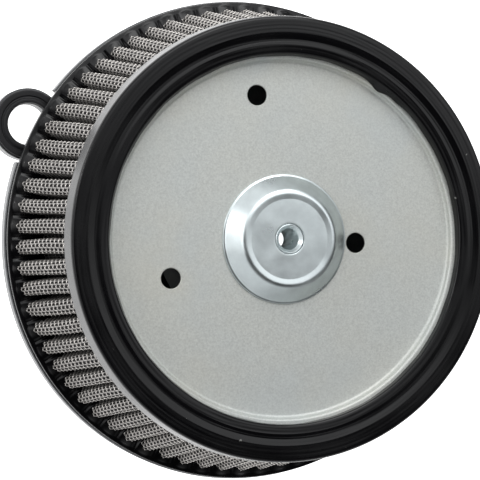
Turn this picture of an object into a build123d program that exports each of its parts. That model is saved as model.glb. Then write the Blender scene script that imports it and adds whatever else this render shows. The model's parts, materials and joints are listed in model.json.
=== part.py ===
from build123d import *
import os
from math import acos, atan2, copysign, cos, degrees, hypot, pi, radians, sin

# Round air filter on a cast back plate with two breather lugs. Millimetres.
# +Z runs along the filter's axis to the front. Z = 0 is the plane of the rear gasket and rear seals.

# Overall heights
FACE_Z = 69.5            # front face of the front end ring
SEAT_Z = 13.4            # face of the back plate that the element sits on
METAL_Z = 1.8            # rear metal faces of the back plate, on the gasket

# Back plate
RIM_R = 89.5
RIM_INNER_R = 70.0
RIM_BOTTOM_Z = 8.4
FLOOR_TOP_Z = 9.4
FLOOR_BOTTOM_Z = 5.4
THROAT_R = 22.0
THROAT_RADIUS = 7.4      # rounded inlet of the throat
THROAT_LIP = 3.0         # flat lip round the inlet
BOSS_R = 35.0
SLOPE = 3.0              # width of the sloped steps in the casting
EDGE = 0.4               # broken edge of the rim
RIB_COUNT = 10
RIB_WIDTH = 3.0
RIB_BOTTOM_Z = 3.2
RIB_START_R = 34.0
RIB_END_R = 85.5
RIB_SINK = 0.4           # how far a rib runs up into the rim

# Breather lugs
LUG_X = 79.5
LUG_Y = 42.1
LUG_R = 13.2
LUG_TOP_Z = 8.0
LUG_BORE_R = 7.55
LUG_ARM_WIDTH = 22.0
LUG_ARM_START_R = 26.0
SCALLOP_R = 15.1         # room in the rim for a bolt head
PASSAGE_R = 2.2          # drilled from the lug's end into the throat
PASSAGE_Z = 4.9
PASSAGE_START_R = 18.0
PLUG_LENGTH = 3.4
PLUG_DEPTH = 0.3         # set back from the lug's end

# Seals and gasket
SEAL_R = 12.5
SEAL_HOLE_R = 8.0
SEAL_GROOVE_R = 10.1
SEAL_GROOVE_WIDTH = 0.7
SEAL_GROOVE_DEPTH = 0.5
FRONT_SEAL_THICK = 1.6
GASKET_R = 34.0
GASKET_BORE_R = 22.4
GASKET_HOLE_R = 4.0

# Long screw holes, through the front plate and on through the back plate
SCREW_HOLES = ((-9.9, 50.1), (26.9, -1.3), (-41.1, -13.6))
SCREW_HOLE_R = 3.55
SCREW_BOSS_R = 7.4

# Pleated pack: wire cloth outside, four plies of gauze, wire cloth inside
PLEATS = 70
PLEAT_PHASE = 2.0        # direction of the first pleat, in degrees
RING_FACE_REAR_Z = 17.0  # the end rings' faces on the pack
RING_FACE_FRONT_Z = 61.0
RING_GAP = 0.05          # between the pack and each ring's face
PACK_REAR_Z = RING_FACE_REAR_Z + RING_GAP
PACK_FRONT_Z = RING_FACE_FRONT_Z - RING_GAP
TIP_REAR_R = 86.4        # outer pleat tips
PACK_TAPER = 0.889       # front radius of any point as a share of its rear radius
PLEAT_DEPTH = 12.2
OUTER_FOLD_R = 2.7       # outside radius of an outer fold, at the rear
INNER_FOLD_R = 2.7       # outside radius of an inner fold, at the rear
CLOTH_THICK = 0.45
PLY_THICK = 0.2
PLY_GAP = 0.04
PLY_COUNT = 4

# Support core: a perforated cone behind the pleats
CORE_GAP = 0.2
CORE_THICK = 0.6
CORE_COLUMNS = 24
CORE_ROWS = 3
CORE_WINDOW = 12.0
CORE_WINDOW_HEIGHT = 10.5
CORE_WINDOW_REACH = 30.0

# End rings
REAR_RING_R = 88.9
REAR_RING_INNER_R = 72.2
REAR_RING_EDGE_Z = 16.1
REAR_RING_LEDGE = 1.8    # flat of the ring's face beyond the pleat tips
FRONT_RING_R = 77.3
FRONT_RING_REAR_R = 78.2
FRONT_RING_INNER_R = 64.0
FRONT_RING_LIP_Z = 67.8
FRONT_RING_FACE = ((0.0, 1.0), (1.2, 0.0), (4.8, 0.1), (6.2, 0.8), (8.0, 0.8), (10.6, 0.9))  # (inward, down)

# Front plate, a shallow steel pan whose flange is moulded into the front ring
SHEET = 0.8
PAN_FLOOR_Z = 62.9
PAN_WALL_R = 62.7
PAN_FLANGE_Z = 65.5
PAN_FLANGE_R = 70.0
PAN_HOLE_R = 6.0

# Hub cap and threaded insert in the middle of the front plate
HUB_R = 22.7
HUB_SHEET = 0.9
HUB_SHOULDER_R = 16.2
HUB_SHOULDER_Z = 68.9
HUB_ROUND = 1.3          # width of the shoulder's rounding
HUB_ROUND_DROP = 0.4
HUB_FOOT = 0.8
HUB_TOP_Z = 68.5
INSERT_R = 5.2
INSERT_THREAD_R = 3.6
INSERT_TOP_Z = 68.9
INSERT_BOTTOM_Z = 51.6
INSERT_COLLAR_R = 7.6
INSERT_COLLAR = 2.4
INSERT_LEAD = 0.8        # chamfer round the lower end
INSERT_CHAMFER = 0.9


def turned(points):
    """Solid of revolution about Z from a closed outline of (radius, height) points."""
    return revolve(make_face(Plane.XZ * Polyline(*points, close=True)), Axis.Z, 360)


def rod(radius, x, y, bottom, top):
    """Upright cylinder."""
    return Pos(x, y, bottom) * Cylinder(radius, top - bottom, align=(Align.CENTER, Align.CENTER, Align.MIN))


def lug_angle(side):
    """Direction of a breather lug from the axis, in degrees; side is -1 (left) or 1 (right)."""
    return degrees(atan2(LUG_Y, side * LUG_X))


def lug_reach():
    """Distance of a lug's bore from the axis."""
    return hypot(LUG_X, LUG_Y)


def passage(side, start, end):
    """Radial rod of the breather passage, between two distances from the axis."""
    drill = Cylinder(PASSAGE_R, end - start, align=(Align.CENTER, Align.CENTER, Align.MIN))
    return Rot(0, 0, lug_angle(side)) * (Pos(start, 0, PASSAGE_Z) * (Rot(0, 90, 0) * drill))


def rear_disc():
    """The plate's turned body: raised rim, lower floor and a throat with a rounded inlet."""
    curve_z = SEAT_Z - THROAT_RADIUS
    curve_r = THROAT_R + THROAT_RADIUS
    lip_r = curve_r + THROAT_LIP
    outline = Curve() + [
        Line((THROAT_R, METAL_Z), (BOSS_R, METAL_Z)),
        Line((BOSS_R, METAL_Z), (BOSS_R + SLOPE, FLOOR_BOTTOM_Z)),
        Line((BOSS_R + SLOPE, FLOOR_BOTTOM_Z), (RIM_INNER_R, FLOOR_BOTTOM_Z)),
        Line((RIM_INNER_R, FLOOR_BOTTOM_Z), (RIM_INNER_R + SLOPE, RIM_BOTTOM_Z)),
        Line((RIM_INNER_R + SLOPE, RIM_BOTTOM_Z), (RIM_R, RIM_BOTTOM_Z)),
        Line((RIM_R, RIM_BOTTOM_Z), (RIM_R, SEAT_Z - EDGE)),
        Line((RIM_R, SEAT_Z - EDGE), (RIM_R - EDGE, SEAT_Z)),
        Line((RIM_R - EDGE, SEAT_Z), (RIM_INNER_R, SEAT_Z)),
        Line((RIM_INNER_R, SEAT_Z), (RIM_INNER_R - SLOPE, FLOOR_TOP_Z)),
        Line((RIM_INNER_R - SLOPE, FLOOR_TOP_Z), (lip_r + SLOPE, FLOOR_TOP_Z)),
        Line((lip_r + SLOPE, FLOOR_TOP_Z), (lip_r, SEAT_Z)),
        Line((lip_r, SEAT_Z), (curve_r, SEAT_Z)),
        RadiusArc((curve_r, SEAT_Z), (THROAT_R, curve_z), -THROAT_RADIUS),
        Line((THROAT_R, curve_z), (THROAT_R, METAL_Z)),
    ]
    return revolve(make_face(Plane.XZ * outline), Axis.Z, 360)


def lug_arm(side):
    """Flat arm from the boss out to a breather lug."""
    length = lug_reach() - LUG_ARM_START_R
    arm = Box(length, LUG_ARM_WIDTH, LUG_TOP_Z - METAL_Z, align=(Align.MIN, Align.CENTER, Align.MIN))
    arm = Rot(0, 0, lug_angle(side)) * (Pos(LUG_ARM_START_R, 0, METAL_Z) * arm)
    return arm + rod(LUG_R, side * LUG_X, LUG_Y, METAL_Z, LUG_TOP_Z)


def rib(angle):
    """Stiffening rib on the back of the plate, from the boss to the rim."""
    height = RIM_BOTTOM_Z + RIB_SINK - RIB_BOTTOM_Z
    web = Box(RIB_END_R - RIB_START_R, RIB_WIDTH, height, align=(Align.MIN, Align.CENTER, Align.MIN))
    return Rot(0, 0, angle) * (Pos(RIB_START_R, 0, RIB_BOTTOM_Z) * web)


def back_plate():
    plate = rear_disc()
    for x, y in SCREW_HOLES:
        plate += rod(SCREW_BOSS_R, x, y, METAL_Z, SEAT_Z) - rod(THROAT_R + THROAT_RADIUS, 0, 0, 0, FACE_Z)
    for index in range(RIB_COUNT):
        plate += rib(360 / RIB_COUNT * (index + 0.5) - 90)
    for side in (-1, 1):
        plate -= rod(SCALLOP_R, side * LUG_X, LUG_Y, 0, FACE_Z)
        plate += lug_arm(side)
        plate -= rod(LUG_BORE_R, side * LUG_X, LUG_Y, 0, FACE_Z)
        plate -= passage(side, PASSAGE_START_R, lug_reach() + 2 * LUG_R)
    for x, y in SCREW_HOLES:
        plate -= rod(SCREW_HOLE_R, x, y, 0, FACE_Z)
    return plate


def throttle_gasket():
    gasket = rod(GASKET_R, 0, 0, 0, METAL_Z)
    for x, y in SCREW_HOLES:
        tab = Box(hypot(x, y), 2 * SCREW_BOSS_R, METAL_Z, align=(Align.MIN, Align.CENTER, Align.MIN))
        gasket += Rot(0, 0, degrees(atan2(y, x))) * tab + rod(SCREW_BOSS_R, x, y, 0, METAL_Z)
    gasket -= rod(GASKET_BORE_R, 0, 0, 0, METAL_Z)
    for x, y in SCREW_HOLES:
        gasket -= rod(GASKET_HOLE_R, x, y, 0, METAL_Z)
    return gasket


def breather_seal(side, back_z, face_z):
    """Flat rubber ring on a lug, with one shallow groove in its free face."""
    x = side * LUG_X
    inward = copysign(SEAL_GROOVE_DEPTH, back_z - face_z)
    low, high = sorted((back_z, face_z))
    groove_low, groove_high = sorted((face_z, face_z + inward))
    groove = rod(SEAL_GROOVE_R + SEAL_GROOVE_WIDTH, x, LUG_Y, groove_low, groove_high)
    groove -= rod(SEAL_GROOVE_R, x, LUG_Y, groove_low, groove_high)
    return rod(SEAL_R, x, LUG_Y, low, high) - rod(SEAL_HOLE_R, x, LUG_Y, low, high) - groove


def passage_plug(side):
    end = lug_reach() + LUG_R - PLUG_DEPTH
    return passage(side, end - PLUG_LENGTH, end)


def total_thickness():
    return 2 * CLOTH_THICK + PLY_COUNT * PLY_THICK + (PLY_COUNT + 1) * PLY_GAP


def fold_points(inset):
    """Corners of the closed zigzag at the pack's rear end, as (x, y) pairs.

    Each pleat is an outer fold, a straight flank, an inner fold and a flank back. A flank is the line
    that touches both folds' circles from opposite sides, so a zigzag inset by some thickness runs
    parallel to the first one. Each fold turns at its two ends and at its crest.
    """
    outer_r = OUTER_FOLD_R - inset
    inner_r = INNER_FOLD_R - total_thickness() + inset
    outer_c = TIP_REAR_R - OUTER_FOLD_R
    inner_c = TIP_REAR_R - PLEAT_DEPTH + INNER_FOLD_R
    half = pi / PLEATS
    inner_x, inner_y = inner_c * cos(half), inner_c * sin(half)
    span = hypot(inner_x - outer_c, inner_y)
    normal = atan2(inner_y, inner_x - outer_c) - acos((outer_r + inner_r) / span)
    corners = [(outer_c, 0, outer_r, angle) for angle in (-normal, 0, normal)]
    corners += [(inner_c, half, inner_r, half + pi + angle) for angle in (normal - half, 0, half - normal)]
    points = []
    for index in range(PLEATS):
        turn = 2 * half * index + radians(PLEAT_PHASE)
        for centre_r, centre_a, radius, direction in corners:
            x = centre_r * cos(centre_a + turn) + radius * cos(direction + turn)
            y = centre_r * sin(centre_a + turn) + radius * sin(direction + turn)
            points.append((x, y))
    return points


def pack_layer(outer_inset, inner_inset):
    """One layer of the tapered pack: its front end is its rear end drawn in towards the axis."""
    faces, rims = [], []
    for inset in (outer_inset, inner_inset):
        flat = fold_points(inset)
        rear = [Vector(x, y, PACK_REAR_Z) for x, y in flat]
        front = [Vector(x * PACK_TAPER, y * PACK_TAPER, PACK_FRONT_Z) for x, y in flat]
        for index in range(len(flat)):
            after = (index + 1) % len(flat)
            corners = (rear[index], rear[after], front[after], front[index])
            faces.append(Face(Wire.make_polygon(corners, close=True)))
        rims.append([Wire.make_polygon(loop, close=True) for loop in (rear, front)])
    faces += [Face(rims[0][end], [rims[1][end]]) for end in (0, 1)]
    return Solid(Shell(faces))


def support_core():
    """Conical tube behind the pleats, with rows of staggered square windows."""
    rear_r = TIP_REAR_R - PLEAT_DEPTH - CORE_GAP
    front_r = rear_r * PACK_TAPER
    core = turned([
        (rear_r, PACK_REAR_Z),
        (front_r, PACK_FRONT_Z),
        (front_r - CORE_THICK, PACK_FRONT_Z),
        (rear_r - CORE_THICK, PACK_REAR_Z),
    ])
    pitch = (PACK_FRONT_Z - PACK_REAR_Z) / CORE_ROWS
    windows = []
    for row in range(CORE_ROWS):
        height = PACK_REAR_Z + pitch * (row + 0.5)
        for column in range(CORE_COLUMNS):
            angle = 360 / CORE_COLUMNS * (column + 0.5 * (row % 2))
            window = Pos(rear_r, 0, height) * Box(CORE_WINDOW_REACH, CORE_WINDOW, CORE_WINDOW_HEIGHT)
            windows.append(Rot(0, 0, angle) * window)
    return core - windows


def rear_end_ring():
    return turned([
        (REAR_RING_INNER_R, SEAT_Z),
        (REAR_RING_R, SEAT_Z),
        (REAR_RING_R, REAR_RING_EDGE_Z),
        (TIP_REAR_R + REAR_RING_LEDGE, RING_FACE_REAR_Z),
        (REAR_RING_INNER_R, RING_FACE_REAR_Z),
    ])


def front_end_ring():
    """Moulded ring: rounded outer edge, shallow groove, lip that slopes down to the plate."""
    face = [(FRONT_RING_R - inward, FACE_Z - down) for inward, down in FRONT_RING_FACE]
    foot = [(FRONT_RING_INNER_R, RING_FACE_FRONT_Z), (FRONT_RING_REAR_R, RING_FACE_FRONT_Z)]
    block = turned(foot + face + [(FRONT_RING_INNER_R, FRONT_RING_LIP_Z)])
    return block - pan()


def pan():
    """Pressed sheet: flat floor, short wall, flange turned out at the top."""
    wall_r = PAN_WALL_R + SHEET
    return turned([
        (0, PAN_FLOOR_Z - SHEET),
        (wall_r, PAN_FLOOR_Z - SHEET),
        (wall_r, PAN_FLANGE_Z - SHEET),
        (PAN_FLANGE_R, PAN_FLANGE_Z - SHEET),
        (PAN_FLANGE_R, PAN_FLANGE_Z),
        (PAN_WALL_R, PAN_FLANGE_Z),
        (PAN_WALL_R, PAN_FLOOR_Z),
        (0, PAN_FLOOR_Z),
    ])


def front_plate():
    plate = pan() - rod(PAN_HOLE_R, 0, 0, 0, FACE_Z)
    for x, y in SCREW_HOLES:
        plate -= rod(SCREW_HOLE_R, x, y, 0, FACE_Z)
    return plate


def hub_cap():
    """Pressed cap: flat foot, cone, rounded shoulder and a slightly sunk top with the insert's hole."""
    top_r = HUB_SHOULDER_R - HUB_ROUND
    return turned([
        (HUB_R, PAN_FLOOR_Z),
        (HUB_R, PAN_FLOOR_Z + HUB_SHEET),
        (HUB_R - HUB_FOOT, PAN_FLOOR_Z + HUB_SHEET),
        (HUB_SHOULDER_R + HUB_ROUND, HUB_SHOULDER_Z - HUB_ROUND_DROP),
        (HUB_SHOULDER_R, HUB_SHOULDER_Z),
        (top_r, HUB_TOP_Z),
        (INSERT_R, HUB_TOP_Z),
        (INSERT_R, HUB_TOP_Z - HUB_SHEET),
        (top_r, HUB_TOP_Z - HUB_SHEET),
        (HUB_R - 3 * HUB_FOOT, PAN_FLOOR_Z),
    ])


def hub_insert():
    """Long threaded bush, held by a collar under the front plate."""
    collar_z = PAN_FLOOR_Z - SHEET
    return turned([
        (INSERT_THREAD_R, INSERT_BOTTOM_Z),
        (INSERT_R - INSERT_LEAD, INSERT_BOTTOM_Z),
        (INSERT_R, INSERT_BOTTOM_Z + INSERT_LEAD),
        (INSERT_R, collar_z - INSERT_COLLAR),
        (INSERT_COLLAR_R, collar_z - INSERT_COLLAR),
        (INSERT_COLLAR_R, collar_z),
        (INSERT_R, collar_z),
        (INSERT_R, INSERT_TOP_Z),
        (INSERT_THREAD_R + INSERT_CHAMFER, INSERT_TOP_Z),
        (INSERT_THREAD_R, INSERT_TOP_Z - INSERT_CHAMFER),
    ])


def pack_layers():
    """The pleated pack's layers from the outside in, as a dictionary of name and solid."""
    names = ["outer_wire_mesh"] + [f"gauze_ply_{n + 1}" for n in range(PLY_COUNT)] + ["inner_wire_mesh"]
    depths = [CLOTH_THICK] + [PLY_THICK] * PLY_COUNT + [CLOTH_THICK]
    layers, inset = {}, 0.0
    for name, depth in zip(names, depths):
        layers[name] = pack_layer(inset, inset + depth)
        inset += depth + PLY_GAP
    return layers


def build():
    nodes = {
        "back_plate": back_plate(),
        "throttle_gasket": throttle_gasket(),
        "rear_end_ring": rear_end_ring(),
        "support_core": support_core(),
        "front_end_ring": front_end_ring(),
        "front_plate": front_plate(),
        "hub_cap": hub_cap(),
        "hub_insert": hub_insert(),
    }
    for side, word in ((-1, "left"), (1, "right")):
        nodes[f"breather_seal_front_{word}"] = breather_seal(side, LUG_TOP_Z, LUG_TOP_Z + FRONT_SEAL_THICK)
        nodes[f"breather_seal_rear_{word}"] = breather_seal(side, METAL_Z, 0)
        nodes[f"passage_plug_{word}"] = passage_plug(side)
    nodes.update(pack_layers())
    return nodes


os.makedirs("parts", exist_ok=True)
for node_name, shape in build().items():
    export_step(shape, f"parts/{node_name}.step")
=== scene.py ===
"""Round motorcycle air filter: the visible pieces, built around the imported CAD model."""

import json
import math

import bpy
import numpy as np
from bpy.props import FloatProperty, FloatVectorProperty, IntProperty, PointerProperty
from mathutils import Matrix, Vector


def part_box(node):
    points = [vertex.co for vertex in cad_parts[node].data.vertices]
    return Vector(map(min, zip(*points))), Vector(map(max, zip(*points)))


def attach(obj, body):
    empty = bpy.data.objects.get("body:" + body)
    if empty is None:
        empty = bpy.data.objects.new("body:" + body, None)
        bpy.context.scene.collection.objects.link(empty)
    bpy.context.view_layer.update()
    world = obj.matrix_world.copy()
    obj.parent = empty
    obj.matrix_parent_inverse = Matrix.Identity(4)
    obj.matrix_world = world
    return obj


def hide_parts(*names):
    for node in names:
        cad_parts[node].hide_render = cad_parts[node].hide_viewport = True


bl_info = {
    "name": "Round Air Filter",
    "version": (1, 0, 0),
    "blender": (4, 5, 0),
    "location": "View3D > Sidebar > Air Filter",
    "description": "Builds a tapered pleated air filter around its CAD frame",
    "category": "Add Mesh",
}

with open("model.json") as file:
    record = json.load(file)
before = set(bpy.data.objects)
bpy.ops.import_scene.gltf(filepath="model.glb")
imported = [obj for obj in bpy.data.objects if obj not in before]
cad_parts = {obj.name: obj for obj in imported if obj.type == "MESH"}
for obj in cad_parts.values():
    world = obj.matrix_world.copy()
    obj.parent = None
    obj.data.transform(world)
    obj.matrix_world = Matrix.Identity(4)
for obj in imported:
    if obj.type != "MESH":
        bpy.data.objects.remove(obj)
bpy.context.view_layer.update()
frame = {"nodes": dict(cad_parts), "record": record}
MM = 0.001
TURN = 2 * math.pi
SHARP_ANGLE = math.radians(35)


def span(node, axis):
    """Lowest and highest coordinate of a CAD node along one axis, in millimetres."""
    low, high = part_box(node)
    return low[axis] / MM, high[axis] / MM


def outer_radius(node):
    """Half of a CAD node's width, in millimetres."""
    low, high = span(node, 0)
    return (high - low) / 2


RING_REAR_Z, FACE_Z = span("front_end_ring", 2)
SEAT_Z, PACK_FOOT_Z = span("rear_end_ring", 2)
PLATE_BACK_Z, FLANGE_Z = span("front_plate", 2)
HUB_FOOT_Z, HUB_TOP_Z = span("hub_cap", 2)
INSERT_BOTTOM_Z, INSERT_TOP_Z = span("hub_insert", 2)
TIP_R = outer_radius("outer_wire_mesh")
RING_REAR_R = outer_radius("front_end_ring")
REAR_RING_R = outer_radius("rear_end_ring")
FLANGE_R = outer_radius("front_plate")
HUB_R = outer_radius("hub_cap")
LUG_Y = sum(span("breather_seal_front_left", 1)) / 2
LUG_X = sum(span("breather_seal_front_right", 0)) / 2
SEAL_R = outer_radius("breather_seal_front_left")
SCREW_HOLES = {
    mount["name"]: (mount["pos_m"][0] / MM, mount["pos_m"][1] / MM, mount["dims"]["r_mm"])
    for mount in frame["record"]["mounts"]
    if mount["name"].startswith("front_screw_hole")
}


# ---------------------------------------------------------------- settings


class PackSettings(bpy.types.PropertyGroup):
    """Sizes of the folded layers and of the wire cloth"""

    pleats: IntProperty(name="Pleats", description="Pleats round the filter", default=70, min=12)
    depth: FloatProperty(name="Pleat depth", description="Depth of a pleat in millimetres",
                         default=12.2)
    taper: FloatProperty(name="Taper", description="Front size as a share of the rear size",
                         default=0.889)
    phase: FloatProperty(name="Phase", description="Direction of the first pleat in degrees",
                         default=2.0)
    outer_fold: FloatProperty(name="Outer fold", description="Radius of an outer fold in millimetres",
                              default=2.7)
    inner_fold: FloatProperty(name="Inner fold", description="Radius of an inner fold in millimetres",
                              default=2.7)
    swell: FloatProperty(name="Swell", description="How far pleats widen towards the front, as a share",
                         default=0.45)
    thickness: FloatProperty(name="Thickness", description="Thickness of all layers in millimetres",
                             default=1.9)
    wires: IntProperty(name="Wires per pleat", description="Upright wires across one pleat",
                       default=20, min=4)
    rows: IntProperty(name="Wire rows", description="Wires that run round the filter",
                      default=27, min=4)
    wire: FloatProperty(name="Wire", description="Wire radius in millimetres", default=0.25)
    wire_colour: FloatVectorProperty(name="Wire colour", description="Bare crowns of the wires",
                                     subtype="COLOR", default=(0.62, 0.59, 0.56))
    gauze_colour: FloatVectorProperty(name="Gauze colour", description="Oiled cotton",
                                      subtype="COLOR", default=(0.006, 0.005, 0.005))


class RingSettings(bpy.types.PropertyGroup):
    """Finish of the moulded rings and the rubber seals"""

    colour: FloatVectorProperty(name="Urethane colour", description="Both moulded rings",
                                subtype="COLOR", default=(0.0013, 0.0012, 0.0016))
    meniscus: FloatProperty(name="Meniscus", description="Rise of the urethane at a pleat in millimetres",
                            default=1.5)
    ripple: FloatProperty(name="Ripple", description="Height of the flow lines in millimetres",
                          default=0.014)
    seal_colour: FloatVectorProperty(name="Seal colour", description="Rubber seals of the lugs",
                                     subtype="COLOR", default=(0.005, 0.005, 0.006))


class PlateSettings(bpy.types.PropertyGroup):
    """Sizes and colours of the pressed plate, the hub and its thread"""

    sheet: FloatProperty(name="Sheet", description="Sheet thickness in millimetres", default=0.8)
    wall_r: FloatProperty(name="Pan radius", description="Inner radius of the pan's wall in millimetres",
                          default=62.6)
    zinc_colour: FloatVectorProperty(name="Zinc colour", description="Matt coating of the plate",
                                     subtype="COLOR", default=(0.62, 0.635, 0.605))
    plated_colour: FloatVectorProperty(name="Plated colour", description="Bright hub and threaded bush",
                                       subtype="COLOR", default=(0.80, 0.87, 0.88))
    pitch: FloatProperty(name="Thread pitch", description="Pitch of the centre thread in millimetres",
                         default=1.41)


class StageSettings(bpy.types.PropertyGroup):
    """Camera and floor"""

    turn: FloatProperty(name="Camera turn", description="Camera's turn to the left of the axis",
                        subtype="ANGLE", default=math.radians(18.13))
    tilt: FloatProperty(name="Camera tilt", description="Camera's turn below the axis", subtype="ANGLE",
                        default=math.radians(0.34))
    distance: FloatProperty(name="Camera distance", description="From the aim point",
                            unit="LENGTH", default=0.632)
    lens: FloatProperty(name="Lens", description="Focal length in millimetres", default=138.06)
    floor_colour: FloatVectorProperty(name="Floor colour", description="Plain floor", subtype="COLOR",
                                      default=(0.92, 0.92, 0.92))


# ---------------------------------------------------------------- mesh helpers


def grid_faces(rows, columns, close_rows, close_columns):
    """Corner numbers of the quads of a grid of points, wrapping round where it is closed."""
    row = np.arange(rows if close_rows else rows - 1)[:, None]
    column = np.arange(columns if close_columns else columns - 1)[None, :]
    next_row, next_column = (row + 1) % rows, (column + 1) % columns
    corners = [row * columns + column, row * columns + next_column,
               next_row * columns + next_column, next_row * columns + column]
    return np.stack([np.broadcast_to(c, (row.size, column.size)) for c in corners], -1).reshape(-1, 4)


def quad_mesh(name, points, faces):
    """Mesh from an array of points in millimetres and an array of quads, shaded smooth."""
    mesh = bpy.data.meshes.new(name)
    mesh.vertices.add(len(points))
    mesh.vertices.foreach_set("co", (np.asarray(points, np.float32) * MM).ravel())
    mesh.loops.add(faces.size)
    mesh.loops.foreach_set("vertex_index", faces.astype(np.int32).ravel())
    mesh.polygons.add(len(faces))
    mesh.polygons.foreach_set("loop_start", np.arange(0, faces.size, 4, dtype=np.int32))
    mesh.polygons.foreach_set("use_smooth", np.ones(len(faces), bool))
    mesh.update(calc_edges=True)
    mesh.validate()
    return mesh


def add_piece(mesh, body, slot, material, *nodes):
    """Links a mesh as a piece that rides a body and stands for CAD nodes."""
    piece = bpy.data.objects.new(mesh.name, mesh)
    bpy.context.scene.collection.objects.link(piece)
    mesh.materials.append(material)
    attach(piece, body)
    if nodes:
        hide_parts(*nodes)
    return piece


def rounded_outline(corners, steps=6):
    """Closed outline from (radius, height, fillet) corners.

    A corner with a fillet becomes an arc that touches both of its sides: its ends lie
    fillet / tan(half the corner's angle) from the corner, and its centre on the bisector.
    """
    spots = np.array([corner[:2] for corner in corners], float)
    points = []
    for index, (_, _, fillet) in enumerate(corners):
        spot = spots[index]
        before = spots[index - 1] - spot
        after = spots[(index + 1) % len(spots)] - spot
        before, after = before / np.hypot(*before), after / np.hypot(*after)
        half = 0.5 * math.acos(np.clip(before @ after, -1, 1))
        if fillet <= 0 or half > math.radians(89):
            points.append(spot[None])
            continue
        centre = spot + (before + after) / np.hypot(*(before + after)) * fillet / math.sin(half)
        first = spot + before * fillet / math.tan(half) - centre
        last = spot + after * fillet / math.tan(half) - centre
        start = math.atan2(first[1], first[0])
        sweep = (math.atan2(last[1], last[0]) - start + math.pi) % TURN - math.pi
        angle = start + sweep * np.linspace(0, 1, steps)
        points.append(centre + fillet * np.stack([np.cos(angle), np.sin(angle)], -1))
    return np.concatenate(points)


def dense(outline, step):
    """The closed outline with points added so that none are further apart than step.

    step may be a function of the sides' middles that gives one step for each.
    """
    following = np.roll(outline, -1, axis=0)
    step = step((outline + following) / 2) if callable(step) else step
    counts = np.maximum(1, np.ceil(np.hypot(*(following - outline).T) / step)).astype(int)
    index = np.repeat(np.arange(len(outline)), counts)
    share = np.concatenate([np.arange(count) / count for count in counts])
    return outline[index] * (1 - share[:, None]) + following[index] * share[:, None]


def lathe(name, outline, segments, centre=(0, 0), change=None):
    """Surface of revolution of a closed outline: point = (r cos a, r sin a, z) about the centre.

    The outline runs anticlockwise with the radius to the right and the height up, so that faces
    point outwards. change(r, z, a) may move the radii and heights.
    """
    angle = np.linspace(0, TURN, segments, endpoint=False)[:, None]
    radius = np.broadcast_to(outline[:, 0], (segments, len(outline)))
    height = np.broadcast_to(outline[:, 1], (segments, len(outline)))
    if change:
        radius, height = change(radius, height, angle)
    x, y = centre[0] + radius * np.cos(angle), centre[1] + radius * np.sin(angle)
    points = np.stack([x, y, height + 0 * angle], -1)
    faces = grid_faces(segments, len(outline), True, True)
    return quad_mesh(name, points.reshape(-1, 3), faces)


def turned_plug(name, side, segments, centre):
    """Solid of revolution of an open outline that runs upwards, closed by one flat face at each end."""
    angle = np.linspace(0, TURN, segments, endpoint=False)
    x = centre[0] + side[:, :1] * np.cos(angle)
    y = centre[1] + side[:, :1] * np.sin(angle)
    points = np.stack([x, y, np.broadcast_to(side[:, 1:], x.shape)], -1).reshape(-1, 3) * MM
    walls = grid_faces(len(side), segments, False, True).tolist()
    first, last = list(range(segments))[::-1], list(range(len(points) - segments, len(points)))
    mesh = bpy.data.meshes.new(name)
    mesh.from_pydata(points.tolist(), [], walls + [first, last])
    return mesh


def cut(piece, cutters):
    """Cuts closed meshes out of a piece with exact booleans, applied, and shades it by angle."""
    for cutter in cutters:
        tool = bpy.data.objects.new(cutter.name, cutter)
        bpy.context.scene.collection.objects.link(tool)
        modifier = piece.modifiers.new("cut", "BOOLEAN")
        modifier.operation, modifier.solver, modifier.object = "DIFFERENCE", "EXACT", tool
        bpy.context.view_layer.update()
        mesh = bpy.data.meshes.new_from_object(piece.evaluated_get(bpy.context.evaluated_depsgraph_get()))
        piece.modifiers.clear()
        piece.data = mesh
        bpy.data.objects.remove(tool)
    piece.data.polygons.foreach_set("use_smooth", np.ones(len(piece.data.polygons), bool))
    piece.data.set_sharp_from_angle(angle=SHARP_ANGLE)


# ---------------------------------------------------------------- materials


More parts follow.
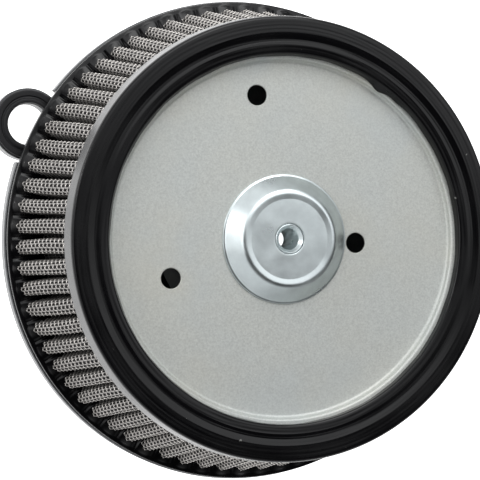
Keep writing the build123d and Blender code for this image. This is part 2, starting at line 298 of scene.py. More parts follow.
class Shader:
    """A material and short ways to add nodes to it."""

    def __init__(self, name, **sockets):
        self.material = bpy.data.materials.new(name)
        self.material.use_nodes = True
        self.tree = self.material.node_tree
        self.surface = self.tree.nodes["Principled BSDF"]
        for key, value in sockets.items():
            self.surface.inputs[key.replace("_", " ")].default_value = value
        self.place = self.add("ShaderNodeTexCoord").outputs["Object"]

    def add(self, kind, **sockets):
        """New node; sockets are values or other nodes' outputs, and _ stands for a space."""
        node = self.tree.nodes.new(kind)
        for key, value in sockets.items():
            self.plug(node.inputs[key.replace("_", " ")], value)
        return node

    def plug(self, target, value):
        """Links another node's output to a socket, or sets the socket's value."""
        if isinstance(value, bpy.types.NodeSocket):
            self.tree.links.new(value, target)
        else:
            target.default_value = value

    def maths(self, operation, first, second=0.0):
        node = self.add("ShaderNodeMath")
        node.operation = operation
        self.plug(node.inputs[0], first)
        self.plug(node.inputs[1], second)
        return node.outputs[0]

    def noise(self, vector, scale, detail=3.0, roughness=0.5):
        node = self.add("ShaderNodeTexNoise", Vector=vector, Scale=scale, Detail=detail, Roughness=roughness)
        return node.outputs["Fac"]

    def remap(self, value, low, high, out_low, out_high):
        """Straight-line change of the range low to high into out_low to out_high, held at its ends."""
        node = self.add("ShaderNodeMapRange", Value=value)
        for key, number in (("From Min", low), ("From Max", high), ("To Min", out_low), ("To Max", out_high)):
            node.inputs[key].default_value = number
        return node.outputs[0]

    def mix(self, factor, first, second):
        node = self.add("ShaderNodeMix")
        node.data_type = "RGBA"
        self.plug(node.inputs["Factor"], factor)
        self.plug(node.inputs[6], first)
        self.plug(node.inputs[7], second)
        return node.outputs[2]

    def streaks(self, across, along):
        """Coordinates that vary fast with the distance from the axis and slowly round it."""
        parts = self.add("ShaderNodeSeparateXYZ", Vector=self.place).outputs
        radius = self.maths("SQRT", self.maths("ADD", self.maths("MULTIPLY", parts[0], parts[0]),
                                               self.maths("MULTIPLY", parts[1], parts[1])))
        node = self.add("ShaderNodeCombineXYZ", X=self.maths("MULTIPLY", radius, across),
                        Y=self.maths("MULTIPLY", parts[0], along),
                        Z=self.maths("MULTIPLY", parts[1], along))
        return node.outputs[0]

    def bump(self, height, strength, distance):
        node = self.add("ShaderNodeBump", Height=height, Strength=strength, Distance=distance)
        self.plug(self.surface.inputs["Normal"], node.outputs[0])

    def set(self, socket, value):
        """Sets or links a socket of the surface shader."""
        self.plug(self.surface.inputs[socket], value)


def rgba(colour, gain=1.0):
    """A colour with alpha, brightened or darkened by gain."""
    return (*(min(1.0, part * gain) for part in colour), 1.0)


def urethane(colour):
    """Black moulded urethane: concentric flow lines, smears of gloss and a few pale specks."""
    shader = Shader("black_urethane", Specular_IOR_Level=0.34)
    flow = shader.noise(shader.streaks(900.0, 26.0), 1.0, 5.0, 0.6)
    broad = shader.noise(shader.streaks(160.0, 12.0), 1.0, 3.0)
    smear = shader.noise(shader.place, 45.0, 4.0)
    specks = shader.add("ShaderNodeTexVoronoi", Vector=shader.place, Scale=210.0)
    chosen = shader.maths("GREATER_THAN", shader.noise(shader.place, 380.0, 1.0), 0.70)
    dot = shader.maths("MULTIPLY", shader.maths("LESS_THAN", specks.outputs["Distance"], 0.11), chosen)
    body = shader.mix(shader.remap(broad, 0.3, 0.7, 0.0, 1.0), rgba(colour), rgba(colour, 1.6))
    shader.set("Base Color", shader.mix(dot, body, (0.16, 0.16, 0.15, 1.0)))
    satin = shader.remap(flow, 0.3, 0.7, 0.17, 0.27)
    shader.set("Roughness", shader.maths("ADD", satin, shader.remap(smear, 0.35, 0.7, -0.05, 0.08)))
    shader.bump(shader.maths("ADD", flow, shader.maths("MULTIPLY", smear, 0.6)), 0.15, 0.00005)
    return shader.material


def seal_rubber(colour):
    """Matt nitrile with a faint grain and clouds of wear."""
    shader = Shader("seal_rubber", Specular_IOR_Level=0.4)
    grain = shader.noise(shader.place, 1400.0, 3.0)
    cloud = shader.noise(shader.place, 130.0, 3.0)
    clouds = shader.remap(cloud, 0.35, 0.7, 0, 1)
    shader.set("Base Color", shader.mix(clouds, rgba(colour), rgba(colour, 1.7)))
    shader.set("Roughness", shader.remap(cloud, 0.3, 0.7, 0.45, 0.6))
    shader.bump(grain, 0.25, 0.0001)
    return shader.material


def wire_metal(colour):
    """Coated wire with painted light: a painted highlight, bright and a little warm, on its crowns, and
    painted shade, dull black, down in the weave.

    The point attribute read here, from 0 to 1, is painted light: high on lit crowns, low in shade.
    """
    shader = Shader("wire_cloth")
    painted_light = shader.add("ShaderNodeAttribute")
    painted_light.attribute_name = "painted_light"
    painted_light = painted_light.outputs["Fac"]
    tone = shader.noise(shader.place, 260.0, 3.0)
    bright = shader.mix(shader.remap(tone, 0.3, 0.7, 0, 1), rgba(colour, 0.8), rgba(colour, 1.2))
    # painted shade: black for the wires in shade, mixed towards the lit colour as painted light
    painted_shade_black = (0.008, 0.007, 0.007, 1)
    shader.set("Base Color", shader.mix(shader.remap(painted_light, 0.0, 0.75, 0, 1), painted_shade_black, bright))
    shader.set("Metallic", shader.remap(painted_light, 0.1, 0.6, 0.1, 0.9))
    shader.set("Roughness", shader.remap(painted_light, 0.1, 0.8, 0.5, 0.26))
    shader.bump(shader.noise(shader.place, 3000.0, 2.0), 0.15, 0.00005)
    return shader.material


def gauze(colour):
    """Dark oiled cotton: fine threads from bands along the axis, and clouds of oil."""
    shader = Shader("cotton_gauze", Roughness=0.7, Specular_IOR_Level=0.25)
    cloud = shader.noise(shader.place, 90.0, 4.0)
    threads = shader.add("ShaderNodeTexWave", Vector=shader.place, Scale=900.0, Distortion=2.0, Detail=2.0)
    threads.bands_direction = "Z"
    level = shader.maths("MULTIPLY", shader.remap(cloud, 0.3, 0.7, 0.4, 1.0), threads.outputs["Fac"])
    shader.set("Base Color", shader.mix(level, rgba(colour), rgba(colour, 2.4)))
    shader.bump(threads.outputs["Fac"], 0.4, 0.0001)
    return shader.material


def zinc_sheet(colour, painted_shade_low, painted_shade_high):
    """Matt zinc coating: fine mottled grain and faint warm and cool clouds.

    Between the two heights lie the sheared walls of the holes, and the outer corner that the urethane
    hides. They are painted black: painted shade in the holes.
    """
    shader = Shader("galvanised_sheet", Metallic=0.45)
    grain = shader.noise(shader.place, 1500.0, 4.0, 0.65)
    cloud = shader.noise(shader.place, 22.0, 3.0)
    tint = shader.noise(shader.place, 38.0, 2.0)
    base = shader.mix(shader.remap(grain, 0.3, 0.7, 0, 1), rgba(colour, 0.84), rgba(colour, 1.16))
    cool = (colour[0] * 0.90, colour[1] * 0.97, colour[2] * 1.06, 1.0)
    warm = (colour[0] * 1.08, colour[1] * 1.02, colour[2] * 0.92, 1.0)
    wash = shader.mix(shader.remap(tint, 0.35, 0.65, 0, 1), cool, warm)
    finish = shader.mix(shader.remap(cloud, 0.4, 0.7, 0.1, 0.4), base, wash)
    height = shader.add("ShaderNodeSeparateXYZ", Vector=shader.place).outputs["Z"]
    # painted shade: the band between the two heights, the walls of the holes, is painted black
    painted_shade = shader.maths("MULTIPLY", shader.maths("GREATER_THAN", height, painted_shade_low * MM),
                        shader.maths("LESS_THAN", height, painted_shade_high * MM))
    shader.set("Base Color", shader.mix(painted_shade, finish, (0.004, 0.004, 0.004, 1)))
    shader.set("Roughness", shader.remap(grain, 0.3, 0.7, 0.42, 0.58))
    shader.bump(grain, 0.35, 0.00008)
    return shader.material


def plated_steel(colour):
    """Bright zinc plate on pressed steel: soft clouds of gloss and a cool cast."""
    shader = Shader("plated_steel", Metallic=1.0)
    cloud = shader.noise(shader.place, 120.0, 4.0)
    fine = shader.noise(shader.place, 900.0, 3.0)
    clouds = shader.remap(cloud, 0.35, 0.7, 0, 1)
    shader.set("Base Color", shader.mix(clouds, rgba(colour, 0.88), rgba(colour, 1.1)))
    shader.set("Roughness", shader.remap(cloud, 0.3, 0.7, 0.27, 0.38))
    shader.bump(fine, 0.12, 0.00006)
    return shader.material


def cast_aluminium():
    """Tumbled aluminium casting with turning marks that follow the axis."""
    shader = Shader("cast_aluminium", Metallic=1.0)
    turned = shader.noise(shader.streaks(2600.0, 14.0), 1.0, 2.0)
    grain = shader.noise(shader.place, 700.0, 5.0, 0.6)
    shader.set("Base Color", shader.mix(grain, (0.10, 0.102, 0.105, 1), (0.17, 0.172, 0.175, 1)))
    shader.set("Roughness", shader.remap(grain, 0.3, 0.7, 0.30, 0.46))
    shader.bump(shader.maths("ADD", shader.maths("MULTIPLY", turned, 0.5), grain), 0.3, 0.00012)
    return shader.material


def gasket_fibre():
    """Compressed grey fibre sheet."""
    shader = Shader("gasket_fibre", Specular_IOR_Level=0.3)
    fibre = shader.noise(shader.place, 520.0, 6.0, 0.7)
    dark, light = (0.05, 0.05, 0.055, 1), (0.13, 0.13, 0.14, 1)
    shader.set("Base Color", shader.mix(shader.remap(fibre, 0.35, 0.65, 0, 1), dark, light))
    shader.set("Roughness", shader.remap(fibre, 0.3, 0.7, 0.65, 0.85))
    shader.bump(fibre, 0.4, 0.0002)
    return shader.material


def plain_steel(name, colour, scale):
    """Zinc coated or ground steel with a fine grain."""
    shader = Shader(name, Metallic=1.0)
    grain = shader.noise(shader.place, scale, 4.0)
    shader.set("Base Color", shader.mix(grain, rgba(colour, 0.75), rgba(colour, 1.2)))
    shader.set("Roughness", shader.remap(grain, 0.3, 0.7, 0.3, 0.5))
    shader.bump(grain, 0.2, 0.0001)
    return shader.material


def woven_sheet():
    """Wire cloth seen from inside: bright broken bands over a dark ground."""
    shader = Shader("inner_wire_cloth", Metallic=0.85, Roughness=0.4)
    bands = shader.add("ShaderNodeTexWave", Vector=shader.place, Scale=175.0)
    bands.bands_direction = "Z"
    spots = shader.noise(shader.place, 700.0, 2.0)
    level = shader.maths("MULTIPLY", bands.outputs["Fac"], shader.remap(spots, 0.4, 0.6, 0.2, 1.0))
    shader.set("Base Color", shader.mix(level, (0.03, 0.03, 0.03, 1), (0.6, 0.58, 0.54, 1)))
    shader.bump(level, 0.6, 0.0003)
    return shader.material


# ---------------------------------------------------------------- pleated pack

GAUZE_PLIES = 4
GAUZE_INSET, GAUZE_PITCH, GAUZE_THICKNESS = 1.12, 0.1, 0.08
INNER_CLOTH_INSET, INNER_CLOTH_THICKNESS = 1.54, 0.34
SHEET_SAMPLES = 22  # points along one pleat
SECTOR = 7  # pleats in one piece of wire cloth
UPRIGHT_CRIMP, ROW_CRIMP, CLOTH_INSET = 0.35, 1.55, 2.6  # in wire radii
OUTER_ARC_POINTS, INNER_ARC_POINTS = 49, 41


def fold_path(pack, inset, share):
    """Points and outward normals of one pleat of the zigzag at the rear of the pack.

    Two circles carry the folds: the outer one at angle 0, the inner one half a pitch on. The flank
    touches both from opposite sides, so its normal makes the angle acos((ro + ri) / distance) with
    the line of centres. share runs from 0 to 1 along the pleat's length.
    """
    outer_r = pack.outer_fold - inset
    inner_r = pack.inner_fold - pack.thickness + inset
    outer_c, inner_c = TIP_R - pack.outer_fold, TIP_R - pack.depth + pack.inner_fold
    half = math.pi / pack.pleats
    inner = np.array([inner_c * math.cos(half), inner_c * math.sin(half)])
    gap = inner - (outer_c, 0)
    normal = math.atan2(gap[1], gap[0]) - math.acos((outer_r + inner_r) / np.hypot(*gap))
    out_angle = np.linspace(-normal, normal, OUTER_ARC_POINTS)
    in_angle = np.linspace(normal + math.pi, 2 * half - normal + math.pi, INNER_ARC_POINTS)
    outer_arc = np.stack([outer_c + outer_r * np.cos(out_angle), outer_r * np.sin(out_angle)], -1)
    inner_arc = inner + inner_r * np.stack([np.cos(in_angle), np.sin(in_angle)], -1)
    path = np.concatenate([outer_arc, inner_arc])
    facing = np.concatenate([out_angle, in_angle + math.pi])
    next_start = 2 * half - normal
    path = np.concatenate([path, [[outer_c * math.cos(2 * half) + outer_r * math.cos(next_start),
                                   outer_c * math.sin(2 * half) + outer_r * math.sin(next_start)]]])
    facing = np.unwrap(np.concatenate([facing, [next_start]]))
    length = np.concatenate([[0], np.cumsum(np.hypot(*np.diff(path, axis=0).T))])
    at = share * length[-1]
    spots = np.stack([np.interp(at, length, path[:, 0]), np.interp(at, length, path[:, 1])], -1)
    return spots, np.interp(at, length, facing)


def round_path(pack, inset, samples):
    """The whole zigzag: samples points per pleat, turned on by one pitch for each pleat."""
    spots, facing = fold_path(pack, inset, np.arange(samples) / samples)
    turn = (np.arange(pack.pleats) * TURN / pack.pleats + math.radians(pack.phase))[:, None]
    x = spots[:, 0] * np.cos(turn) - spots[:, 1] * np.sin(turn)
    y = spots[:, 0] * np.sin(turn) + spots[:, 1] * np.cos(turn)
    return np.stack([x, y], -1).reshape(-1, 2), (facing + turn).ravel()


def place_on_pack(pack, flat, rise):
    """Lifts points of the rear zigzag to their height.

    A point at share rise of the height is drawn in to 1 - (1 - taper) rise of its radius. The pleats
    widen on the way: the angle from a pleat's centre line grows by swell rise sin(2 pi a / pitch)
    pitch / 2 pi. They lean round the axis by a few slow waves, so that no two stand alike.
    """
    angle = np.arctan2(flat[..., 1], flat[..., 0])
    local = (angle - math.radians(pack.phase)) * pack.pleats
    widen = pack.swell * rise * np.sin(local) / pack.pleats
    lean = 0.0032 * np.sin(9 * angle + 1.0) + 0.0026 * np.sin(23 * angle + 2.2) + 0.0018 * np.sin(37 * angle)
    lean = widen + lean * np.sin(math.pi * rise)
    scale = 1 - (1 - pack.taper) * rise
    x = (flat[..., 0] * np.cos(lean) - flat[..., 1] * np.sin(lean)) * scale
    y = (flat[..., 0] * np.sin(lean) + flat[..., 1] * np.cos(lean)) * scale
    return np.stack([x, y, PACK_FOOT_Z + (RING_REAR_Z - PACK_FOOT_Z) * rise + 0 * x], -1)


def tubes(centres, facing, lift, radius, sides=5):
    """Tubes along rows of points, and each point's height over the middle of the cloth.

    A ring lies in the plane of the cloth's normal and the across direction, at centre + radius
    (cos t normal + sin t across). Its heights are lift + radius cos t.
    """
    turn = np.arange(sides) * TURN / sides
    along = np.gradient(centres, axis=1)
    along /= np.linalg.norm(along, axis=-1, keepdims=True)
    across = np.cross(along, facing)
    across /= np.linalg.norm(across, axis=-1, keepdims=True)
    normal = np.cross(across, along)
    rings = centres[..., None, :] + radius * (np.cos(turn)[:, None] * normal[..., None, :]
                                              + np.sin(turn)[:, None] * across[..., None, :])
    height = lift[..., None] + radius * np.cos(turn)
    lines, count = centres.shape[:2]
    faces = grid_faces(count, sides, False, True)
    faces = (faces[None] + np.arange(lines)[:, None, None] * count * sides).reshape(-1, 4)
    return rings.reshape(-1, 3), faces, height.ravel()


def painted_wire_light(pack, points, height):
    """Painted light of each point of the wires: crown^1.8 (0.08 + 0.92 depth^1.5).

    crown runs from 0 to 1 with the height over the cloth in wire radii, and depth from 0 deep in a
    fold to 1 near its tip. The tops of the wires get a painted highlight, their undersides and the deep
    folds painted shade.
    """
    # painted highlight on the tops of the wires, painted shade on their undersides
    crown = np.clip((height / pack.wire + 0.5) / 2.7, 0, 1)
    rise = (points[:, 2] - PACK_FOOT_Z) / (RING_REAR_Z - PACK_FOOT_Z)
    reach = np.hypot(points[:, 0], points[:, 1]) / (1 - (1 - pack.taper) * rise)
    # painted shade deep in the folds
    depth = np.clip((reach - TIP_R + 0.75 * pack.depth) / (0.6 * pack.depth), 0, 1)
    return crown ** 1.8 * (0.08 + 0.92 * depth ** 1.5)


def wire_cloth_sector(pack, first, count, material):
    """Woven wires over some of the pleats.

    Upright wires stand at whole steps round the zigzag, rows at half steps up it. Both swing in and
    out as cos(pi (step + row)), the rows against the uprights, so they meet in the middle of the
    cloth and crest between their crossings. The rows are crimped far more than the uprights.
    """
    spots, facing = round_path(pack, CLOTH_INSET * pack.wire, 2 * pack.wires)
    chosen = np.arange(first * 2 * pack.wires, (first + count) * 2 * pack.wires + 1) % len(spots)
    spots, facing = spots[chosen], facing[chosen]
    out = np.stack([np.cos(facing), np.sin(facing)], -1)
    upright_swing, row_swing = UPRIGHT_CRIMP * pack.wire, ROW_CRIMP * pack.wire

    levels = np.arange(2 * pack.rows + 1) / (2 * pack.rows)
    upright = np.arange(0, len(spots) - 1, 2)
    warp_wave = np.cos(math.pi * (upright[:, None] / 2 + levels[None] * pack.rows))
    flat = spots[upright][:, None] + upright_swing * warp_wave[..., None] * out[upright][:, None]
    warp = place_on_pack(pack, flat, np.broadcast_to(levels, warp_wave.shape))
    warp_out = np.concatenate([out[upright], np.zeros((len(upright), 1))], -1)[:, None] + 0 * warp

    row = np.arange(pack.rows) + 0.5
    step = np.arange(len(spots)) / 2
    weft_wave = -np.cos(math.pi * (step[None] + row[:, None]))
    flat = spots[None] + row_swing * weft_wave[..., None] * out[None]
    weft = place_on_pack(pack, flat, np.broadcast_to(row[:, None] / pack.rows, weft_wave.shape))
    weft_out = np.concatenate([out, np.zeros((len(out), 1))], -1)[None] + 0 * weft

    points, faces, height = tubes(warp, warp_out, upright_swing * warp_wave, pack.wire)
    more, more_faces, more_height = tubes(weft, weft_out, row_swing * weft_wave, pack.wire)
    faces = np.concatenate([faces, more_faces + len(points)])
    points = np.concatenate([points, more])
    mesh = quad_mesh(f"wire_cloth_{first:02d}", points, faces)
    # painted light and shade, stored on the points for the wire material
    painted_light = painted_wire_light(pack, points, np.concatenate([height, more_height]))
    shine = mesh.attributes.new("painted_light", "FLOAT", "POINT")
    shine.data.foreach_set("value", painted_light.astype(np.float32))
    add_piece(mesh, "element", "wire_cloth", material, "outer_wire_mesh")


def pleated_sheet(name, pack, inset, thickness, slot, material, node):
    """Closed pleated sheet between two insets: zigzag outside, zigzag inside, joined at both ends."""
    levels = np.linspace(0, 1, 5)[:, None]
    outer, _ = round_path(pack, inset, SHEET_SAMPLES)
    inner, _ = round_path(pack, inset + thickness, SHEET_SAMPLES)
    skin = [place_on_pack(pack, outer[None], levels), place_on_pack(pack, inner[None], levels[::-1])]
    points = np.concatenate(skin).transpose(1, 0, 2)
    faces = grid_faces(points.shape[0], points.shape[1], True, True)
    add_piece(quad_mesh(name, points.reshape(-1, 3), faces), "element", slot, material, node)


class FILTER_OT_pack(bpy.types.Operator):
    """Builds the pleated pack: woven wire cloth outside, gauze plies, inner cloth"""

    bl_idname = "filter.pack"
    bl_label = "Pleated pack"

    def execute(self, context):
        pack = context.scene.filter_pack
        wire = wire_metal(pack.wire_colour)
        for first in range(0, pack.pleats, SECTOR):
            wire_cloth_sector(pack, first, SECTOR, wire)
        cotton = gauze(pack.gauze_colour)
        for ply in range(GAUZE_PLIES):
            inset = GAUZE_INSET + GAUZE_PITCH * ply
            pleated_sheet(f"gauze_{ply + 1}", pack, inset, GAUZE_THICKNESS, "cotton_gauze", cotton,
                          f"gauze_ply_{ply + 1}")
        pleated_sheet("inner_cloth", pack, INNER_CLOTH_INSET, INNER_CLOTH_THICKNESS, "wire_cloth",
                      woven_sheet(), "inner_wire_mesh")
        return {"FINISHED"}


# ---------------------------------------------------------------- end rings

LIP_R = 64.1
TONGUE_ANGLE = math.radians(57)
RING_SEGMENTS, REAR_RING_SEGMENTS_PER_PLEAT = 720, 24
FINE_STEP, COARSE_STEP = 0.3, 6.0


def front_ring_shape(ring):
    """Outline and surface changes of the front ring."""
    outline = rounded_outline([
        (LIP_R, RING_REAR_Z, 0.2), (RING_REAR_R, RING_REAR_Z, 0.3), (RING_REAR_R - 0.8, FACE_Z - 0.12, 1.3),
        (71.7, FACE_Z - 0.15, 1.6), (69.5, FACE_Z - 0.62, 1.0), (68.7, FACE_Z - 0.62, 1.0),
        (67.6, FACE_Z - 0.48, 1.6), (LIP_R + 0.35, FACE_Z - 0.75, 0.9), (LIP_R, FLANGE_Z + 0.3, 0.35),
        (LIP_R + 0.5, FLANGE_Z - 0.3, 0.0), (LIP_R + 1.4, FLANGE_Z - 0.4, 0.0),
    ])

    def change(radius, height, angle):
        """Ripple and lip.

        Ripple: a sum of sines of the radius, bent by slow waves round the ring, lifts the face. Lip:
        the foot creeps in by sin(a), on the left by -cos(a), by short waves and, at the tongue, by
        exp(-(away / width)^2).
        """
        top = np.clip((height - FACE_Z + 3.5) / 2.0, 0, 1)
        wave = np.sin(radius * 5.1 + 1.3 * np.sin(3 * angle) + 0.8 * np.sin(7 * angle + 1))
        wave = wave + 0.6 * np.sin(radius * 9.7 + 1.9 * np.sin(2 * angle + 2))
        wave = wave + 0.5 * np.sin(radius * 3.1 + 2.2 * np.sin(5 * angle) + 1.1 * np.sin(11 * angle))
        low = np.clip((FACE_Z - 1.2 - height) / 2.0, 0, 1) * (height > FLANGE_Z - 0.4)
        near = np.exp(-((radius - LIP_R) / 0.9) ** 2) * low
        away = (angle - TONGUE_ANGLE + math.pi) % TURN - math.pi
        creep = 1.5 * np.exp(-(away / math.radians(3.2)) ** 2) + 0.5 * np.exp(-((away + 0.12) / 0.05) ** 2)
        creep = creep + 0.25 * np.sin(angle) + 0.7 * np.clip(-np.cos(angle), 0, 1)
        creep = creep + 0.08 * np.sin(13 * angle) + 0.06 * np.sin(31 * angle + 1)
        return radius - near * creep, height + ring.ripple * top * wave

    return dense(outline, 0.42), change


def rear_ring_shape(ring, pack):
    """Outline and surface changes of the rear ring."""
    inner_r, face_z = 72.2, PACK_FOOT_Z - 0.55
    outline = rounded_outline([
        (inner_r, SEAT_Z, 0.4), (REAR_RING_R - 0.2, SEAT_Z, 0.2), (REAR_RING_R, SEAT_Z + 0.3, 0),
        (REAR_RING_R, face_z, 0.45), (TIP_R + 0.9, face_z + 0.12, 0.8), (inner_r, face_z + 0.12, 0.3),
    ])

    def change(radius, height, angle):
        """Meniscus: the face rises by rise exp(-(d / width)^1.4).

        d is the distance to the pleat's outline, which is a circle at the tip and two straight flanks
        behind it. The rise swells and sinks slowly from pleat to pleat.
        """
        pitch = TURN / pack.pleats
        local = (angle - math.radians(pack.phase) + pitch / 2) % pitch - pitch / 2
        forward = radius * np.cos(local) - (TIP_R - pack.outer_fold)
        sideways = radius * np.sin(local)
        distance = np.where(forward > 0, np.hypot(forward, sideways), np.abs(sideways)) - pack.outer_fold
        top = np.clip((height - face_z + 0.5) / 0.4, 0, 1)
        rise = ring.meniscus * (1 + 0.25 * np.sin(11 * angle) + 0.15 * np.sin(27 * angle + 1))
        return radius, height + rise * top * np.exp(-(np.maximum(distance, 0) / 0.75) ** 1.4)

    def step(middles):
        """Fine steps on the face round the pleats' tips, coarse ones elsewhere."""
        return np.where((middles[:, 0] > 80) & (middles[:, 1] > face_z - 0.5), FINE_STEP, COARSE_STEP)

    return dense(outline, step), change


class FILTER_OT_rings(bpy.types.Operator):
    """Builds the two moulded end rings"""

    bl_idname = "filter.rings"
    bl_label = "End rings"

    def execute(self, context):
        ring, pack = context.scene.filter_rings, context.scene.filter_pack
        black = urethane(ring.colour)
        outline, change = front_ring_shape(ring)
        mesh = lathe("front_ring", outline, RING_SEGMENTS, change=change)
        add_piece(mesh, "element", "black_urethane", black, "front_end_ring")
        outline, change = rear_ring_shape(ring, pack)
        mesh = lathe("rear_ring", outline, pack.pleats * REAR_RING_SEGMENTS_PER_PLEAT, change=change)
        add_piece(mesh, "element", "black_urethane", black, "rear_end_ring")
        return {"FINISHED"}


# ---------------------------------------------------------------- front plate and hub

PAN_HOLE_R = 6.0
DRILL_BEVEL = 0.25
HUB_SHEET = 0.9
THREAD_R, THREAD_DEPTH, THREAD_MOUTH_R = 3.62, 0.36, 3.97
BUSH_R, BUSH_FLANGE_R, BUSH_FLANGE = 5.2, 7.6, 2.4


class FILTER_OT_plate(bpy.types.Operator):
    """Builds the pressed front plate with its rolled wall and three screw holes"""

    bl_idname = "filter.plate"
    bl_label = "Front plate"

    def execute(self, context):
        plate = context.scene.filter_plate
        floor_z, wall = PLATE_BACK_Z + plate.sheet, plate.wall_r
        outline = dense(rounded_outline([
            (PAN_HOLE_R, PLATE_BACK_Z, 0.0), (wall + plate.sheet, PLATE_BACK_Z, 2.0),
            (wall + plate.sheet, FLANGE_Z - plate.sheet, 0.2), (FLANGE_R, FLANGE_Z - plate.sheet, 0.0),
            (FLANGE_R, FLANGE_Z, 0.0), (wall + 0.1, FLANGE_Z, 0.95), (wall, floor_z, 1.2),
            (PAN_HOLE_R, floor_z, 0.0),
        ], 10), 8.0)
        mesh = lathe("front_pan", outline, 288)
        # the hole walls between these two heights get painted shade
        zinc = zinc_sheet(plate.zinc_colour, PLATE_BACK_Z + 0.05, floor_z - DRILL_BEVEL)
        piece = add_piece(mesh, "element", "galvanised_sheet", zinc, "front_plate")
        cutters = []
        for name, (x, y, radius) in SCREW_HOLES.items():
            side = np.array([(radius, PLATE_BACK_Z - 1), (radius, floor_z - DRILL_BEVEL),
                             (radius + 2 * DRILL_BEVEL, floor_z + DRILL_BEVEL)])
            cutters.append(turned_plug("drill_" + name, side, 64, (x, y)))
        cut(piece, cutters)
        return {"FINISHED"}


class FILTER_OT_hub(bpy.types.Operator):
    """Builds the plated hub cap and the threaded insert"""

    bl_idname = "filter.hub"
    bl_label = "Hub"

    def execute(self, context):
        plate = context.scene.filter_plate
        shine = plated_steel(plate.plated_colour)
        foot, top = HUB_FOOT_Z, HUB_TOP_Z
        cap = dense(rounded_outline([
            (HUB_R - 2.4, foot, 0), (HUB_R, foot, 0.15), (HUB_R, foot + 0.7, 0.3),
            (HUB_R - 0.7, foot + HUB_SHEET, 0.6), (16.7, top + 0.1, 2.6), (14.0, top - 0.15, 2.0),
            (5.3, top - 0.1, 0.25), (5.3, top - 0.1 - HUB_SHEET, 0), (13.6, top - 0.2 - HUB_SHEET, 1.0),
            (16.2, top - 1.0, 1.2),
        ], 12), 0.6)
        add_piece(lathe("hub_pressing", cap, 192), "element", "plated_steel", shine, "hub_cap")
        bottom, rim, flange_z = INSERT_BOTTOM_Z, INSERT_TOP_Z, PLATE_BACK_Z - BUSH_FLANGE
        bush = dense(rounded_outline([
            (THREAD_R, bottom, 0), (4.4, bottom, 0.2), (BUSH_R, bottom + 0.8, 0.2), (BUSH_R, flange_z, 0),
            (BUSH_FLANGE_R, flange_z, 0.3), (BUSH_FLANGE_R, PLATE_BACK_Z, 0), (BUSH_R, PLATE_BACK_Z, 0),
            (BUSH_R, rim, 0.35), (4.8, rim, 0.15), (THREAD_MOUTH_R, rim - 0.95, 0), (THREAD_R, rim - 1.3, 0),
        ], 6), 0.16)

        def thread(radius, height, angle):
            """Thread: the bore's radius swells by its depth as a triangle wave of (z / pitch - turns)."""
            phase = (height / plate.pitch - angle / TURN) % 1
            inside = (radius < THREAD_R + 0.08) * np.clip((height - INSERT_BOTTOM_Z - 0.3) / 0.5, 0, 1)
            return radius + inside * THREAD_DEPTH * (1 - np.abs(2 * phase - 1)), height

        mesh = lathe("threaded_bush", bush, 96, change=thread)
        add_piece(mesh, "element", "plated_steel", shine, "hub_insert")
        return {"FINISHED"}


# ---------------------------------------------------------------- back plate and seals


class FILTER_OT_seals(bpy.types.Operator):
    """Builds the four grooved rubber seals of the breather lugs"""

    bl_idname = "filter.seals"
    bl_label = "Breather seals"

    def execute(self, context):
        rubber = seal_rubber(context.scene.filter_rings.seal_colour)
        for where, side in (("front", 1), ("rear", -1)):
            low, high = span(f"breather_seal_{where}_left", 2)
            face, back = (high, low) if side > 0 else (low, high)
            outline = rounded_outline([
                (7.7, back, 0.15), (SEAL_R, back, 0.2), (SEAL_R, face - 0.25 * side, 0.45),
                (10.4, face - 0.25 * side, 0.1), (10.1, face - 0.75 * side, 0.15),
                (9.6, face - 0.6 * side, 0.2), (9.2, face, 0.5), (7.9, face, 0.35),
            ], 6)
            outline = dense(outline if side > 0 else outline[::-1], 0.5)
            for hand, x in (("left", -LUG_X), ("right", LUG_X)):
                mesh = lathe(f"seal_{where}_{hand}", outline, 96, (x, LUG_Y))
                add_piece(mesh, "base", "seal_rubber", rubber, f"breather_seal_{where}_{hand}")
        return {"FINISHED"}


class FILTER_OT_metal(bpy.types.Operator):
    """Gives the CAD nodes that stay their finishes"""

    bl_idname = "filter.metal"
    bl_label = "Back plate and inner metal"

    def execute(self, context):
        finishes = {
            "back_plate": cast_aluminium(),
            "throttle_gasket": gasket_fibre(),
            "support_core": plain_steel("core_steel", (0.45, 0.46, 0.47), 600.0),
        }
        plug = plain_steel("plug_steel", (0.5, 0.5, 0.52), 1500.0)
        finishes.update({"passage_plug_left": plug, "passage_plug_right": plug})
        for node, material in finishes.items():
            mesh = frame["nodes"][node].data
            mesh.materials.clear()
            mesh.materials.append(material)
        return {"FINISHED"}


# ---------------------------------------------------------------- stage

FLOOR_HALF = 3.0
FLOOR_GLOW = 1.35
LIT_POINT = Vector((0, 0, 0.04))
AIM_X, AIM_Y = -18.4, -0.4
PANELS = (  # name, place from the lit point in metres, size in metres, power in watts
    ("left_panel", (-0.75, 0.10, 0.62), 0.55, 1.2),
    ("far_panel", (0.10, 0.75, 0.70), 0.55, 2.8),
    ("edge_panel", (-0.85, 0.35, 0.30), 0.16, 0.9),
)


def soft_light(name, place, aim, size, power):
    """Square area light that faces a point."""
    data = bpy.data.lights.new(name, "AREA")
    data.shape, data.size, data.energy = "SQUARE", size, power
    lamp = bpy.data.objects.new(name, data)
    lamp.location = place
    lamp.rotation_euler = (aim - place).to_track_quat("-Z", "Y").to_euler()
    bpy.context.scene.collection.objects.link(lamp)


class Sky(Shader):
    """The world's shader; place is the view direction."""

    def __init__(self, name):
        self.world = bpy.data.worlds.new(name)
        self.world.use_nodes = True
        self.tree = self.world.node_tree
        self.surface = self.tree.nodes["Background"]
        self.place = self.add("ShaderNodeTexCoord").outputs["Generated"]


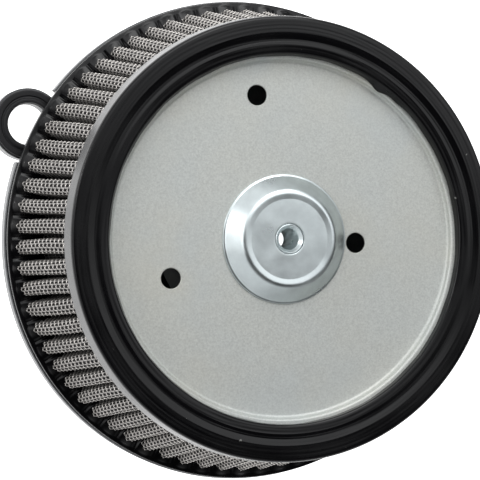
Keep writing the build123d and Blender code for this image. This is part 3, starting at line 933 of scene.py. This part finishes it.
def studio_world():
    """Dim room with a softbox overhead, given in terms of the direction (x, y, z).

    Overhead the brightness steps up with 0.35 x + y. Low down it is
    0.42 - 0.38 x + 0.1 y + 0.3 y^2. The two are blended by the height z.
    """
    sky = Sky("studio")
    x, y, z = sky.add("ShaderNodeSeparateXYZ", Vector=sky.place).outputs
    over = sky.remap(sky.maths("ADD", sky.maths("MULTIPLY", x, 0.35), y), 0.10, 0.26, 0.03, 1.6)
    rise = sky.maths("MULTIPLY", y, sky.maths("ADD", sky.maths("MULTIPLY", y, 0.3), 0.1))
    low = sky.maths("ADD", sky.remap(x, -1.0, 1.0, 0.80, 0.04), rise)
    height = sky.remap(z, 0.5, 0.85, 0.0, 1.0)
    grey = sky.maths("ADD", sky.maths("MULTIPLY", over, height),
                     sky.maths("MULTIPLY", low, sky.maths("SUBTRACT", 1.0, height)))
    sky.set("Strength", grey)
    sky.set("Color", (0.97, 0.985, 1.0, 1.0))
    return sky.world


class FILTER_OT_stage(bpy.types.Operator):
    """Builds the floor, the lights and the camera"""

    bl_idname = "filter.stage"
    bl_label = "Stage"

    def execute(self, context):
        stage, scene = context.scene.filter_stage, context.scene
        corners = np.array([(-1, -1, 0), (1, -1, 0), (1, 1, 0), (-1, 1, 0)]) * FLOOR_HALF / MM
        floor = bpy.data.objects.new("floor", quad_mesh("floor", corners, np.array([[0, 1, 2, 3]])))
        scene.collection.objects.link(floor)
        pale = Shader("pale_floor", Roughness=0.8)
        pale.set("Base Color", (*stage.floor_colour, 1.0))
        pale.set("Emission Color", (1.0, 1.0, 1.0, 1.0))
        pale.set("Emission Strength", FLOOR_GLOW)
        floor.data.materials.append(pale.material)

        for name, place, size, power in PANELS:
            soft_light(name, LIT_POINT + Vector(place), LIT_POINT, size, power)
        scene.world = studio_world()
        scene.view_settings.view_transform = "Standard"

        data = bpy.data.cameras.new("camera")
        data.lens, data.clip_start = stage.lens, 0.01
        camera = bpy.data.objects.new("camera", data)
        scene.collection.objects.link(camera)
        aim = Vector((AIM_X, AIM_Y, FACE_Z)) * MM
        back = Vector((-math.sin(stage.turn) * math.cos(stage.tilt), -math.sin(stage.tilt),
                       math.cos(stage.turn) * math.cos(stage.tilt)))
        up = (Vector((0, 1, 0)) - back * back.y).normalized()
        right = up.cross(back)
        turn = Matrix((right, up, back)).transposed().to_4x4()
        camera.matrix_world = Matrix.Translation(aim + back * stage.distance) @ turn
        scene.camera = camera
        return {"FINISHED"}


# ---------------------------------------------------------------- panel and registration


OPERATORS = (FILTER_OT_stage, FILTER_OT_pack, FILTER_OT_rings, FILTER_OT_plate, FILTER_OT_hub,
             FILTER_OT_seals, FILTER_OT_metal)
SETTINGS = {"filter_pack": PackSettings, "filter_rings": RingSettings, "filter_plate": PlateSettings,
            "filter_stage": StageSettings}


class FILTER_PT_build(bpy.types.Panel):
    """Lists the filter's operators"""

    bl_label = "Air Filter"
    bl_idname = "FILTER_PT_build"
    bl_space_type = "VIEW_3D"
    bl_region_type = "UI"
    bl_category = "Air Filter"

    def draw(self, context):
        for operator in OPERATORS:
            self.layout.operator(operator.bl_idname)


def register():
    for cls in (*SETTINGS.values(), *OPERATORS, FILTER_PT_build):
        bpy.utils.register_class(cls)
    for name, cls in SETTINGS.items():
        setattr(bpy.types.Scene, name, PointerProperty(type=cls))


def unregister():
    for name in SETTINGS:
        delattr(bpy.types.Scene, name)
    for cls in (FILTER_PT_build, *reversed(OPERATORS), *reversed(list(SETTINGS.values()))):
        bpy.utils.unregister_class(cls)


def main():
    """Builds everything in order."""
    register()
    bpy.ops.filter.stage()
    bpy.ops.filter.pack()
    bpy.ops.filter.rings()
    bpy.ops.filter.plate()
    bpy.ops.filter.hub()
    bpy.ops.filter.seals()
    bpy.ops.filter.metal()


if __name__ == "__main__":
    main()
